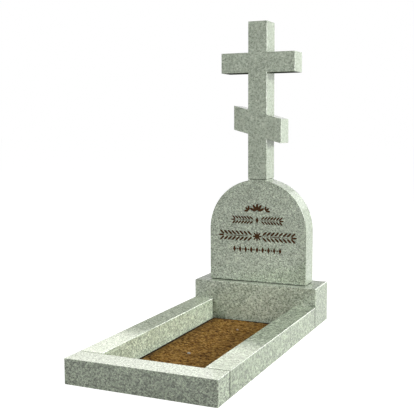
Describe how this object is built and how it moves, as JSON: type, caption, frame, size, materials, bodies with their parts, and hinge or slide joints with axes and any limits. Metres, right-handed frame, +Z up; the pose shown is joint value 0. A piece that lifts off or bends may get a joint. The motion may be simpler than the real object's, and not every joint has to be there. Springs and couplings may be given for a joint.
{
  "type": "cross headstone with kerb",
  "caption": "Polished granite grave monument: an arched stele carrying a cross with a slanted lower bar, on a pedestal behind a low kerb that frames a soil bed.",
  "frame": {"origin": "centre of the monument's rectangular footprint, on the ground", "axes": "+Z up; the lettered face of the stele looks along -Y, over the bed; +X is the viewer's right"},
  "size_m": [0.6, 1.295, 1.392],
  "materials": {
    "granite": "polished",
    "soil": "loose, matte",
    "jointing": "matte",
    "dowel_steel": "plain"
  },
  "bodies": {
    "root": {"front_kerb": "granite", "left_kerb": "granite", "right_kerb": "granite", "pedestal": "granite", "stele": "granite", "cross": "granite", "soil_bed": "soil", "front_left_joint": "jointing", "front_right_joint": "jointing", "back_left_joint": "jointing", "back_right_joint": "jointing", "stele_bed_joint": "jointing", "cross_bed_joint": "jointing", "stele_dowel_left": "dowel_steel", "stele_dowel_right": "dowel_steel", "cross_dowel_left": "dowel_steel", "cross_dowel_right": "dowel_steel"}
  },
  "joints": []
}
